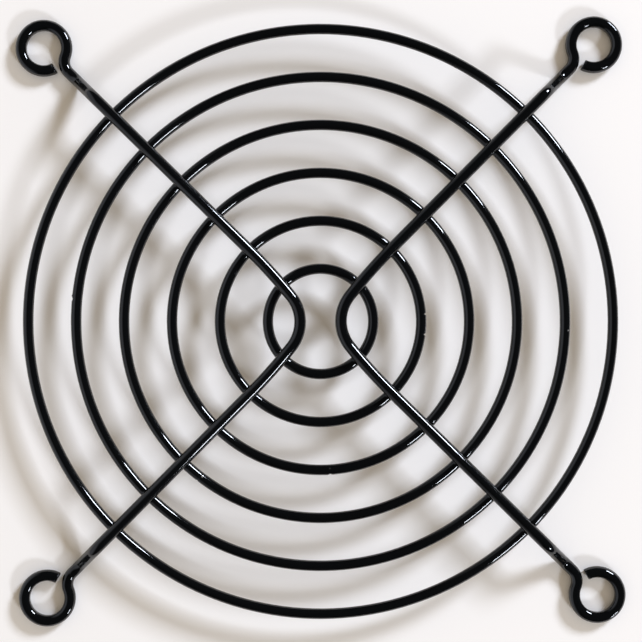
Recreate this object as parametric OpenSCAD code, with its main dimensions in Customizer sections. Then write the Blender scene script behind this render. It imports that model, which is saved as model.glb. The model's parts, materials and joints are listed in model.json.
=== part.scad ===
// Wire finger guard for an 80 mm axial cooling fan. Millimetres.
//
// Six concentric rings of thin wire are resistance welded under two V-shaped ribs of thicker wire.
// Each rib joggles down outside the rings and ends in two eyelets, which take the fan's fixing screws.
// The origin is the centre of the guard, on the fan's face. +Z points away from the fan.

/* [Fan] */
// Side of the square of fixing screws
screw_pitch = 71.5; // [71:0.5:73]
// Diameter of the screw hole in each eyelet
screw_hole_d = 4.5; // [4:0.1:4.8]

/* [Rings] */
// Diameter of the ring wire, over its enamel
ring_wire_d = 1.35; // [1.1:0.05:1.6]
// Radius of the innermost ring, to the middle of its wire
ring_first_r = 6.75; // [6.6:0.05:7.5]
// Radius of the outermost ring, to the middle of its wire
ring_last_r = 37.5; // [36:0.5:38]
// Height of the middle of the ring wire above the fan's face
ring_z = 3.3; // [3:0.1:4]

/* [Ribs] */
// Diameter of the rib wire, over its enamel
rib_wire_d = 1.5; // [1.3:0.05:1.7]
// How far a rib is pressed into each ring by the weld
weld_set_down = 0.25; // [0.1:0.05:0.35]
// Distance from the centre of the guard to the middle of the wire at a rib's tip
tip_x = 2.6; // [2.5:0.05:2.8]
// Radius of the bend at a rib's tip, to the middle of the wire
tip_r = 5.2; // [4.8:0.1:5.6]
// Radius of the gentle curve by which that bend runs out into each arm
ease_r = 70; // [40:5:100]
// How far past the centre of the guard the lines of a rib's two arms meet
apex_past = 0.16; // [0:0.02:0.3]

/* [Joggles and eyelets] */
// Radius of both bends of a joggle, to the middle of the wire
joggle_r = 2.2; // [1.8:0.1:2.4]
// Slope of a joggle
joggle_angle = 46; // [42:1:50]
// Straight wire between a joggle and its eyelet
neck_length = 0.6; // [0.3:0.1:0.8]
// Radius of the reverse bend that leads into an eyelet, to the middle of the wire
throat_r = 2; // [1.8:0.1:2.2]
// Angle that the wire turns through round a screw hole
eye_turn = 320; // [300:1:322]
// Depth pressed off each face of an eyelet and off the wall of its hole
coin_depth = 0.05; // [0.03:0.01:0.06]

/* [Butt joints] */
// Depth of the nick on the outside of a ring's butt joint
nick_depth = 0.22; // [0.1:0.02:0.3]
// Half the width of that nick
nick_reach = 0.25; // [0.15:0.05:0.35]
// Depth of the groove round the wire at a butt joint
seam_depth = 0.04; // [0.02:0.01:0.06]
// Half the width of that groove
seam_reach = 0.08; // [0.05:0.01:0.1]

/* [Hidden] */
$fn = 64;

ring_count = 6;
ring_pitch = (ring_last_r - ring_first_r) / (ring_count - 1);
// Where each ring was trimmed and butted, in degrees anticlockwise from +X, innermost ring first.
// The joints of the first and last ring are dressed smooth.
butt_angles = [[], [3.7, -7.5], [-86.7], [-128.2], [174.5], []];
enamel = "#101114";
// How much thinner the wire is in a bend, and how far a bend reaches into the wire at its ends
bend_thinning = 0.01;
bend_lap = 0.05;
// Overlap that makes a cutter run clear of a surface
clear = 0.5;

rib_z = ring_z + (ring_wire_d + rib_wire_d) / 2 - weld_set_down;
eye_thickness = rib_wire_d - 2 * coin_depth;
eye_z = eye_thickness / 2;
// The loop is bent a little tight, then the hole's wall is pressed out to size
eye_r = (screw_hole_d + rib_wire_d) / 2 - coin_depth;

// Both arms of a rib point straight at a screw hole. Distances along an arm are counted from the
// point where the lines of the two arms meet.
arm_angle = atan2(screw_pitch / 2, screw_pitch / 2 + apex_past);
hole_along = norm([screw_pitch / 2, screw_pitch / 2 + apex_past]);
// The tip bend and its run-outs turn the wire from across the rib to along the arm, and carry it
// sideways from the tip on to the arm's line
half_turn = 90 - arm_angle;
tip_aside = (tip_x + apex_past) * sin(arm_angle);
ease_turn = acos(1 - (tip_aside - tip_r * (1 - cos(half_turn))) / (ease_r - tip_r));
tip_turn = half_turn - ease_turn;
arm_start = (tip_x + apex_past) * cos(arm_angle)
    + tip_r * (sin(half_turn) - sin(ease_turn)) + ease_r * sin(ease_turn);

joggle_drop = rib_z - eye_z;
joggle_slope = (joggle_drop - 2 * joggle_r * (1 - cos(joggle_angle))) / sin(joggle_angle);
joggle_run = 2 * joggle_r * sin(joggle_angle) + joggle_slope * cos(joggle_angle);
// The reverse bend starts this far short of the hole, and turns this much before it meets the loop
throat_length = sqrt(pow(eye_r + throat_r, 2) - pow(throat_r, 2));
throat_turn = 90 - atan2(throat_r, throat_length);
arm_length = hole_along - throat_length - neck_length - joggle_run - arm_start;

function ring_r(i) = ring_first_r + (i - 1) * ring_pitch;

// Full-sized wire bent round the origin in the XY plane, from start to start + angle
module curl(d, radius, start, angle) {
    rotate([0, 0, start]) rotate_extrude(angle = angle) translate([radius, 0]) circle(d = d);
}

// A bend between two lengths of full-sized wire, as curl() has it. Bending draws the wire a little
// thinner, and the bend reaches a little way into its neighbours.
module bend(d, radius, start, angle) {
    lap = bend_lap * 180 / (PI * radius);
    curl(d - bend_thinning, radius, start - lap, angle + 2 * lap);
}

// Wire along a list of steps, from the origin and heading along +X. Each step starts where the last
// one ends: [length] is a straight, and [radius, angle, roll] is a bend. A roll of 0 bends to the
// left, 180 to the right, 90 upwards and -90 downwards. The children are set on the wire's end.
module wire(d, steps, i = 0) {
    if (i == len(steps)) {
        children();
    } else if (len(steps[i]) == 1) {
        length = steps[i][0];
        rotate([0, 90, 0]) cylinder(d = d, h = length);
        translate([length, 0, 0]) wire(d, steps, i + 1) children();
    } else {
        radius = steps[i][0];
        angle = steps[i][1];
        roll = steps[i][2];
        rotate([roll, 0, 0]) translate([0, radius, 0]) {
            bend(d, radius, -90, angle);
            rotate([0, 0, angle]) translate([0, -radius, 0]) rotate([-roll, 0, 0])
                wire(d, steps, i + 1) children();
        }
    }
}

// The plain torus of a ring, before its butt joint is marked
module ring_torus(i) {
    translate([0, 0, ring_z])
        rotate_extrude() translate([ring_r(i), 0]) circle(d = ring_wire_d);
}

// What a butt joint takes out of the wire: a groove all round it, and a nick on its outside
module butt_joint_cut() {
    wire_r = ring_wire_d / 2;
    rotate([90, 0, 0]) rotate_extrude()
        polygon([[wire_r - seam_depth, 0],
                 [wire_r + seam_depth, 2 * seam_reach],
                 [wire_r + seam_depth, -2 * seam_reach]]);
    translate([wire_r - nick_depth, 0, -wire_r - clear]) linear_extrude(ring_wire_d + 2 * clear)
        polygon([[0, 0],
                 [2 * nick_depth, 2 * nick_reach],
                 [2 * nick_depth, -2 * nick_reach]]);
}

// A ring: one length of thin wire, rolled round, butt-welded and trimmed
module ring(i) {
    color(enamel) difference() {
        ring_torus(i);
        for (a = butt_angles[i - 1])
            rotate([0, 0, a]) translate([ring_r(i), 0, ring_z]) butt_joint_cut();
    }
}

// Half of a rib, from the end of its tip bend: along the arm, down the joggle and round the eyelet
module arm() {
    wire(rib_wire_d, [
        [ease_r, ease_turn, 180],
        [arm_length],
        [joggle_r, joggle_angle, -90],
        [joggle_slope],
        [joggle_r, joggle_angle, 90],
        [neck_length],
        [throat_r, throat_turn, 0]
    ]) translate([0, -eye_r, 0]) curl(rib_wire_d, eye_r, 90 - eye_turn, eye_turn);
}

// What the press takes off one eyelet: its upper face, and the wall of the screw hole
module eye_coining() {
    translate([0, 0, eye_thickness]) cylinder(r = eye_r + rib_wire_d, h = clear);
    translate([0, 0, -clear]) cylinder(d = screw_hole_d, h = eye_thickness + 2 * clear);
}

// The right-hand rib: one length of thick wire, bent to a V whose tip points at the centre.
// Each ring that it crosses leaves a saddle in its underside, and its eyelets lie on the fan's face.
module rib() {
    color(enamel) difference() {
        union() {
            translate([tip_x + tip_r, 0, rib_z])
                curl(rib_wire_d, tip_r, 180 - tip_turn, 2 * tip_turn);
            for (side = [0, 1]) mirror([0, side, 0])
                translate([tip_x + tip_r, 0, rib_z]) rotate([0, 0, 90 - tip_turn])
                    translate([0, tip_r, 0]) arm();
        }
        for (i = [1:ring_count]) ring_torus(i);
        for (y = [-1, 1])
            translate([screw_pitch / 2, y * screw_pitch / 2, 0]) eye_coining();
        translate([0, -screw_pitch, -clear]) cube([screw_pitch, 2 * screw_pitch, clear]);
    }
}

module rib_left() mirror([1, 0, 0]) rib();
module rib_right() rib();

ring(1);  // ring_1
ring(2);  // ring_2
ring(3);  // ring_3
ring(4);  // ring_4
ring(5);  // ring_5
ring(6);  // ring_6
rib_left();
rib_right();
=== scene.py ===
import json
from math import acos, atan2, cos, hypot, pi, radians, sin, sqrt

import bmesh
import bpy
from mathutils import Matrix, Vector


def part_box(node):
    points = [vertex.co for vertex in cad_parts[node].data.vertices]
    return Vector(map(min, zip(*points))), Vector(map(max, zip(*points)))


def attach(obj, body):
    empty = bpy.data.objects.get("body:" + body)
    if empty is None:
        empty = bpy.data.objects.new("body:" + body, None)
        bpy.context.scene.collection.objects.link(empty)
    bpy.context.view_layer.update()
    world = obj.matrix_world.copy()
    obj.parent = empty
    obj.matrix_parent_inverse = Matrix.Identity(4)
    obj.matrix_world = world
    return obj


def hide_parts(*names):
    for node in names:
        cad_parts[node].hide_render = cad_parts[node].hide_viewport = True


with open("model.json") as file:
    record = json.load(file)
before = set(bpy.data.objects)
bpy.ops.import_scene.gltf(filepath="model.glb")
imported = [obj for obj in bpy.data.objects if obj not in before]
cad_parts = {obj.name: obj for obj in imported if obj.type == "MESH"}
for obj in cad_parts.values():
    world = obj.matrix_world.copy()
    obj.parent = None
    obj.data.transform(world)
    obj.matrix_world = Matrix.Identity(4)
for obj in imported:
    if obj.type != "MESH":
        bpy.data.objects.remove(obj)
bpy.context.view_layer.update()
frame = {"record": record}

MM = 0.001


# ---- Camera ----
# The guard lies on a table with its four eyelets down. The camera hangs straight above its centre,
# as near as a hand-held camera comes for a close-up.

camera_height = 188 * MM
sensor_width = 36
frame_width = 82.35 * MM     # at the height of the rings
aim_off_x = 0.06 * MM
aim_off_y = 0.05 * MM
camera_roll = radians(-0.36)
ring_low, ring_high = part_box("ring_6")
ring_z = (ring_low.z + ring_high.z) / 2

camera = bpy.data.objects.new("camera", bpy.data.cameras.new("camera"))
camera.data.sensor_width = sensor_width
camera.data.lens = sensor_width * (camera_height - ring_z) / frame_width
camera.data.clip_start = 10 * MM
camera.location = (aim_off_x, aim_off_y, camera_height)
camera.rotation_euler = (0, 0, camera_roll)
bpy.context.scene.collection.objects.link(camera)
bpy.context.scene.camera = camera
bpy.context.scene.view_settings.view_transform = "Standard"


# ---- Lamps ----
# Two softboxes stand on the right, one to each side, low enough to throw every wire's shadow well
# clear of it. The room adds even, warm light, and the gloss mirrors the room's pale left side.

def linear(code):
    """The linear colour of an sRGB hex code such as "#101114"."""
    parts = [int(code[i:i + 2], 16) / 255 for i in (1, 3, 5)]
    return [c / 12.92 if c <= 0.04045 else ((c + 0.055) / 1.055) ** 2.4 for c in parts] + [1]


def add_node(tree, kind, inputs=None, **settings):
    """Adds a node. Each input is given a value, or the output socket of another node."""
    node = tree.nodes.new(kind)
    for name, value in settings.items():
        setattr(node, name, value)
    for socket, value in (inputs or {}).items():
        if isinstance(value, bpy.types.NodeSocket):
            tree.links.new(value, node.inputs[socket])
        else:
            node.inputs[socket].default_value = value
    return node


lamp_distance = 1600 * MM


def stand_lamp(name, bearing, slant, width, height, share, colour):
    """A softbox at that bearing from +X and that slant from the vertical. It looks that wide and
    that high from the guard, all in degrees. Share is the part of the table's light that it gives."""
    towards = Vector((sin(radians(slant)) * cos(radians(bearing)),
                      sin(radians(slant)) * sin(radians(bearing)),
                      cos(radians(slant))))
    lamp = bpy.data.objects.new(name, bpy.data.lights.new(name, "AREA"))
    lamp.data.shape = "RECTANGLE"
    lamp.data.size = 2 * lamp_distance * sin(radians(width / 2))
    lamp.data.size_y = 2 * lamp_distance * sin(radians(height / 2))
    lamp.data.energy = share * pi ** 2 * lamp_distance ** 2 / cos(radians(slant))
    lamp.data.color = linear(colour)[:3]
    lamp.location = towards * lamp_distance
    lamp.rotation_euler = towards.to_track_quat("Z", "Y").to_euler()
    lamp.visible_camera = False
    bpy.context.scene.collection.objects.link(lamp)


stand_lamp("key_softbox", 44.1, 62.9, 15.5, 11, 0.54, "#E8F0FF")
stand_lamp("second_softbox", -48.1, 60.8, 11.5, 6.5, 0.21, "#EEF4FF")

world = bpy.data.worlds.new("room")
bpy.context.scene.world = world
world.use_nodes = True
room = world.node_tree
room.nodes.clear()
view = add_node(room, "ShaderNodeTexCoord").outputs["Generated"]
axes = add_node(room, "ShaderNodeSeparateXYZ", {0: view})
strength = add_node(room, "ShaderNodeMapRange",
                    {0: axes.outputs["X"], 1: -0.38, 2: -0.72, 3: 0.02, 4: 0.72})
dim = add_node(room, "ShaderNodeBackground",
               {"Color": linear("#F0F4FF"), "Strength": strength.outputs[0]})
pale = add_node(room, "ShaderNodeBackground", {"Color": linear("#F4F2F0"), "Strength": 1.0})
path = add_node(room, "ShaderNodeLightPath")
fill = add_node(room, "ShaderNodeBackground", {"Color": linear("#FFEFD8"), "Strength": 0.46})
seen = add_node(room, "ShaderNodeMixShader",
                {0: path.outputs["Is Glossy Ray"], 1: fill.outputs[0], 2: dim.outputs[0]})
both = add_node(room, "ShaderNodeMixShader",
                {0: path.outputs["Is Camera Ray"], 1: seen.outputs[0], 2: pale.outputs[0]})
add_node(room, "ShaderNodeOutputWorld", {"Surface": both.outputs[0]})


# ---- Table ----
# A sheet of plain white card, matt and a little warm. The guard rests on it, and it lies a hair
# lower than the eyelets' flats, so that the two surfaces don't share a plane.

card = bpy.data.materials.new("white_card")
card.use_nodes = True
card_nodes = card.node_tree
card_nodes.nodes.clear()
card_finish = add_node(card_nodes, "ShaderNodeBsdfPrincipled",
                       {"Base Color": linear("#F4F2F0"), "Roughness": 0.85})
add_node(card_nodes, "ShaderNodeOutputMaterial", {"Surface": card_finish.outputs[0]})

table_half = 3000 * MM
table_drop = 0.01 * MM

table_mesh = bmesh.new()
bmesh.ops.create_grid(table_mesh, size=table_half)
bmesh.ops.translate(table_mesh, verts=table_mesh.verts, vec=(0, 0, -table_drop))
table = bpy.data.objects.new("table", bpy.data.meshes.new("table"))
table_mesh.to_mesh(table.data)
table_mesh.free()
table.data.materials.append(card)
bpy.context.scene.collection.objects.link(table)


# ---- Black enamel ----
# Gloss black stoving enamel, into which the welded guard was dipped. It flows out smooth and mirrors
# the lamps, with a faint orange peel that makes the bright lines waver. A light grey mixed into the
# colour is a painted highlight where some ring joints catch the light, and one chip where steel shows.

peel_size = 0.9 * MM
peel_depth = 0.003 * MM
sag_size = 5 * MM

enamel = bpy.data.materials.new("gloss_black_enamel")
enamel.use_nodes = True
coat = enamel.node_tree
coat.nodes.clear()
place = add_node(coat, "ShaderNodeTexCoord").outputs["Object"]
peel = add_node(coat, "ShaderNodeTexNoise", {"Vector": place, "Scale": 1 / peel_size, "Detail": 2.0})
ripple = add_node(coat, "ShaderNodeBump",
                  {"Strength": 1.0, "Distance": peel_depth, "Height": peel.outputs[0]})
sag = add_node(coat, "ShaderNodeTexNoise", {"Vector": place, "Scale": 1 / sag_size, "Detail": 3.0})
gloss = add_node(coat, "ShaderNodeMapRange", {0: sag.outputs[0], 1: 0.35, 2: 0.7, 3: 0.04, 4: 0.07})
# Light grey flecks: painted glints at some ring joints, and one chip of bare steel
bare_and_glint = add_node(coat, "ShaderNodeAttribute", attribute_name="bare_and_glint")
colour = add_node(coat, "ShaderNodeMix", {0: bare_and_glint.outputs["Fac"], 6: linear("#08090A"),
                                          7: linear("#A8A6A1")}, data_type="RGBA")
enamel_finish = add_node(coat, "ShaderNodeBsdfPrincipled",
                         {"Base Color": colour.outputs[2], "Roughness": gloss.outputs[0],
                          "IOR": 1.55, "Normal": ripple.outputs[0]})
add_node(coat, "ShaderNodeOutputMaterial", {"Surface": enamel_finish.outputs[0]})


# ---- Ribs ----
# Two lengths of thick steel wire, each bent to a V. From its tip beside the middle of the guard an
# arm runs out over the rings, joggles down outside them and curls into a screw eyelet, which a press
# has flattened. Where it is welded to a ring, the enamel gathers in the corners.

mounts = {mount["name"]: mount["dims"] for mount in frame["record"]["mounts"]}
screw_x = mounts["screw_holes"]["spacing_x_mm"] / 2 * MM
hole_r = mounts["screw_holes"]["hole_r_mm"] * MM
ring_nodes = ["ring_%d" % number for number in range(1, 7)]
ring_wire_r = (ring_high.z - ring_low.z) / 2
ring_radii = [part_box(node)[1].x - ring_wire_r for node in ring_nodes]

rib_low, rib_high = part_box("rib_right")
rib_wire_r = 0.75 * MM
rib_z = rib_high.z - rib_wire_r
tip_x = rib_low.x + rib_wire_r
tip_r = 5.2 * MM
ease_r = 70 * MM
apex_past = 0.16 * MM
joggle_r = 2.2 * MM
joggle_angle = radians(46)
neck_length = 0.6 * MM
throat_r = 2 * MM
eye_turn = radians(320)
coin_depth = 0.05 * MM
cut_bevel = 0.15 * MM
fillet = 0.3 * MM
weld_zone = 3 * rib_wire_r
rib_sides = 40
arm_row = 0.12 * MM
bend_row = 0.15 * MM
neck_row = 0.2 * MM
slope_row = 0.3 * MM
merge_gap = 0.001 * MM

# Both arms point straight at a screw hole. The tip bend and its gentle run-out turn the wire from
# across the rib to along the arm, as they carry it sideways on to the arm's line.
arm_angle = atan2(screw_x, screw_x + apex_past)
tip_aside = (tip_x + apex_past) * sin(arm_angle)
half_turn = pi / 2 - arm_angle
ease_turn = acos(1 - (tip_aside - tip_r * (1 - cos(half_turn))) / (ease_r - tip_r))
arm_start = ((tip_x + apex_past) * cos(arm_angle) + tip_r * (sin(half_turn) - sin(ease_turn))
             + ease_r * sin(ease_turn))

eye_thickness = 2 * (rib_wire_r - coin_depth)
eye_r = hole_r + rib_wire_r - coin_depth
joggle_slope = (rib_z - eye_thickness / 2 - 2 * joggle_r * (1 - cos(joggle_angle))) / sin(joggle_angle)
joggle_run = 2 * joggle_r * sin(joggle_angle) + joggle_slope * cos(joggle_angle)
throat_length = sqrt((eye_r + throat_r) ** 2 - throat_r ** 2)
throat_turn = pi / 2 - atan2(throat_r, throat_length)
arm_length = (hypot(screw_x, screw_x + apex_past) - throat_length - neck_length - joggle_run
              - arm_start)

LEFT, RIGHT, UP, DOWN = 0, pi, pi / 2, -pi / 2


def bend_wire(place, wire_r, steps):
    """Wire that starts at a place, heading along its X axis. (length, grain) is a straight and
    (radius, angle, side, grain) a bend; the grain is the length of a row of faces.
    Returns the mesh and the centres and headings that the wire passes."""
    mesh = bmesh.new()
    across = place @ Matrix.Rotation(pi / 2, 4, "Y")
    bmesh.ops.create_circle(mesh, segments=rib_sides, radius=wire_r, matrix=across)
    end = mesh.edges[:]
    run = []
    for step in steps:
        grain = step[-1]
        if len(step) == 2:
            rows = round(step[0] / grain) + 1
            move = Matrix.Translation((step[0] / rows, 0, 0))
            for row in range(rows):
                grown = bmesh.ops.extrude_edge_only(mesh, edges=end)["geom"]
                end = [item for item in grown if isinstance(item, bmesh.types.BMEdge)]
                tips = [item for item in grown if isinstance(item, bmesh.types.BMVert)]
                shift = (place @ move).translation - place.translation
                bmesh.ops.translate(mesh, verts=tips, vec=shift)
                place = place @ move
                run.append((place.translation, place.col[0].to_3d()))
        else:
            radius, angle, side = step[:3]
            rows = round(radius * angle / grain) + 1
            pivot = place @ Matrix.Rotation(side, 4, "X") @ Matrix.Translation((0, radius, 0))
            spun = bmesh.ops.spin(mesh, geom=end, cent=pivot.translation, axis=pivot.col[2].to_3d(),
                                  angle=angle, steps=rows)
            end = [item for item in spun["geom_last"] if isinstance(item, bmesh.types.BMEdge)]
            for row in range(rows):
                place = (pivot @ Matrix.Rotation(angle / rows, 4, "Z") @ pivot.inverted()) @ place
                run.append((place.translation, place.col[0].to_3d()))
    return mesh, end, run


def gap_to_ring(point, radius):
    """How far a point is outside the wire of the ring of that radius."""
    return hypot(hypot(point.x, point.y) - radius, point.z - ring_z) - ring_wire_r


def gap_to_rib(point, weld):
    """How far a point is outside the rib at a weld."""
    offset = point - weld[0]
    return (offset - weld[1] * offset.dot(weld[1])).length - rib_wire_r


def gather_enamel(mesh, weld, other_gap):
    """Draws a wire's points near a weld out to the fillet between it and the wire it is welded to."""
    for vertex in mesh.verts:
        start = vertex.co.copy()
        if (start - weld[0]).length > weld_zone or not 0 <= other_gap(start) < fillet:
            continue
        rise = 0
        for guess in range(6):
            gap = other_gap(start + rise * vertex.normal)
            closeness = max(fillet - abs(rise - gap), 0) / fillet
            rise += closeness ** 2 * fillet / 4 - min(rise, gap)
            rise = min(max(rise, 0), fillet / 2)
        sunk = max(rise - other_gap(start + rise * vertex.normal), 0) / 3
        vertex.co = start + (rise - sunk) * vertex.normal


def finish_wire(mesh, name):
    """Smooths and enamels a wire that stands for the node of that name."""
    for face in mesh.faces:
        face.smooth = True
    wire = bpy.data.objects.new(name + "_enamelled", bpy.data.meshes.new(name))
    mesh.to_mesh(wire.data)
    mesh.free()
    wire.data.materials.append(enamel)
    bpy.context.scene.collection.objects.link(wire)
    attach(wire, "root")
    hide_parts(name)


tip = Matrix.Translation((tip_x, 0, rib_z)) @ Matrix.Rotation(pi / 2, 4, "Z")
half_rib = [(tip_r, half_turn - ease_turn, RIGHT, arm_row),
            (ease_r, ease_turn, RIGHT, arm_row),
            (arm_length, arm_row),
            (joggle_r, joggle_angle, DOWN, bend_row),
            (joggle_slope, slope_row),
            (joggle_r, joggle_angle, UP, bend_row),
            (neck_length, neck_row),
            (throat_r, throat_turn, LEFT, bend_row),
            (eye_r, eye_turn, RIGHT, bend_row)]

welds = []
for side, name in ((1, "rib_right"), (-1, "rib_left")):
    mesh, end, run = bend_wire(tip, rib_wire_r, half_rib)
    cut_face = bmesh.ops.contextual_create(mesh, geom=end)["faces"]
    bmesh.ops.bevel(mesh, geom=cut_face[0].edges[:], offset=cut_bevel, affect="EDGES", segments=3,
                    profile=0.5, material=-1)
    for vertex in mesh.verts:
        from_screw = hypot(vertex.co.x - screw_x, vertex.co.y - screw_x)
        vertex.co.z = max(vertex.co.z, 0)
        if from_screw < eye_r + 2 * rib_wire_r:
            vertex.co.z = min(vertex.co.z, eye_thickness)
        if from_screw < hole_r:
            push = hole_r / from_screw
            vertex.co.x = screw_x + (vertex.co.x - screw_x) * push
            vertex.co.y = screw_x + (vertex.co.y - screw_x) * push
    bmesh.ops.mirror(mesh, geom=mesh.verts[:] + mesh.edges[:] + mesh.faces[:], axis="Y",
                     merge_dist=merge_gap)
    bmesh.ops.scale(mesh, verts=mesh.verts, vec=(side, 1, 1))
    bmesh.ops.recalc_face_normals(mesh, faces=mesh.faces)
    mesh.normal_update()
    for radius in ring_radii:
        through, along = next(stop for stop in run if hypot(stop[0].x, stop[0].y) > radius)
        for flip in (1, -1):
            weld = (Vector((side * through.x, flip * through.y, through.z)),
                    Vector((side * along.x, flip * along.y, 0)))
            gather_enamel(mesh, weld, lambda point: gap_to_ring(point, radius))
            welds.append((radius, weld))
    finish_wire(mesh, name)


# ---- Rings ----
# Six rings of thinner steel wire, each rolled from one length, butt-welded to a hoop and trimmed.
# The trimming has left a nick on the outside of some joints. Light grey flecks paint the glints
# where some joints catch the light, and one marks a chip where the steel shows.

ring_sides = 36
plain_row = radians(2)
weld_reach = 1.4 * MM
weld_row = 0.12 * MM
joint_reach = 0.7 * MM
joint_row = 0.04 * MM
seam_depth = 0.016 * MM
seam_reach = 0.08 * MM
lip_reach = 0.2 * MM
fleck_reach = 0.14 * MM
# Each joint's bearing in degrees, and its nick's half width and depth and the lip beside it in mm
joints = {"ring_2": [(3.7, 0.20, 0.22, 0), (-7.5, 0.20, 0.22, 0)],
          "ring_3": [(-86.7, 0.35, 0.15, 0)],
          "ring_4": [(-128.2, 0.25, 0.13, 0)],
          "ring_5": [(174.5, 0.32, 0.17, 0.07)]}
# Light grey flecks, painted glints at joints on rings 2 to 4 and a chip of bare steel on ring 5:
# the bearing in degrees, how far outside the wire's middle in mm, how far the colour goes to grey
flecks_and_glints = {"ring_2": [(3.7, 0.5, 0.35), (-7.5, 0.5, 0.35)],
          "ring_3": [(-86.7, -0.22, 0.06)],
          "ring_4": [(-127.65, -0.3, 0.9)],
          "ring_5": [(-2.45, 0.39, 0.4)]}

for name, radius in zip(ring_nodes, ring_radii):
    here = [weld for ring, weld in welds if ring == radius]
    stops = [(atan2(through.y, through.x), weld_reach, weld_row) for through, along in here]
    for mark in joints.get(name, []) + flecks_and_glints.get(name, []):
        if all(abs(radians(mark[0]) - stop[0]) * radius > stop[1] for stop in stops):
            stops.append((radians(mark[0]), joint_reach, joint_row))
    stops.sort()
    mesh = bmesh.new()
    first = stops[0][0] - stops[0][1] / radius
    bmesh.ops.create_circle(
        mesh, segments=ring_sides, radius=ring_wire_r,
        matrix=Matrix.Rotation(first, 4, "Z") @ Matrix.Translation((radius, 0, ring_z))
        @ Matrix.Rotation(pi / 2, 4, "X"))
    end = mesh.edges[:]
    for stop, after in zip(stops, stops[1:] + stops[:1]):
        fine = 2 * stop[1] / radius
        plain = (after[0] - stop[0]) % (2 * pi) - (stop[1] + after[1]) / radius
        for angle, rows in ((fine, fine * radius / stop[2]), (plain, plain / plain_row)):
            spun = bmesh.ops.spin(mesh, geom=end, cent=(0, 0, 0), axis=(0, 0, 1), angle=angle,
                                  steps=round(rows) + 1)
            end = [item for item in spun["geom_last"] if isinstance(item, bmesh.types.BMEdge)]
    bmesh.ops.remove_doubles(mesh, verts=mesh.verts, dist=2 * merge_gap)
    bmesh.ops.recalc_face_normals(mesh, faces=mesh.faces)
    mesh.normal_update()
    for weld in here:
        gather_enamel(mesh, weld, lambda point: gap_to_rib(point, weld))
    for joint, nick_reach, nick_depth, lip in joints.get(name, []):
        for vertex in mesh.verts:
            bearing = atan2(vertex.co.y, vertex.co.x)
            past = ((bearing - radians(joint) + pi) % (2 * pi) - pi) * radius
            if abs(past) > joint_reach:
                continue
            out = hypot(vertex.co.x, vertex.co.y) - radius
            up = vertex.co.z - ring_z
            shrink = 1 - seam_depth / ring_wire_r * max(1 - abs(past) / seam_reach, 0)
            ridge = max(1 - abs(past + nick_reach * MM + lip_reach / 2) / lip_reach, 0)
            out = out * shrink + lip * MM * ridge * max(out / ring_wire_r, 0)
            if abs(past) < nick_reach * MM:
                out = min(out, ring_wire_r - nick_depth * MM * (1 - abs(past) / (nick_reach * MM)))
            vertex.co = ((radius + out) * cos(bearing), (radius + out) * sin(bearing),
                         ring_z + up * shrink)
    # Paints the light grey flecks: painted highlights at the joints, and the chip of bare steel
    bare_and_glint_layer = mesh.verts.layers.float.new("bare_and_glint")
    for fleck, out, bare_and_glint_share in flecks_and_glints.get(name, []):
        middle = Vector((radius + out * MM, 0, ring_z + sqrt(ring_wire_r ** 2 - (out * MM) ** 2)))
        middle.rotate(Matrix.Rotation(radians(fleck), 3, "Z"))
        for vertex in mesh.verts:
            nearness = 1 - (vertex.co - middle).length / fleck_reach
            vertex[bare_and_glint_layer] = max(vertex[bare_and_glint_layer], bare_and_glint_share * min(2 * nearness, 1))
    finish_wire(mesh, name)
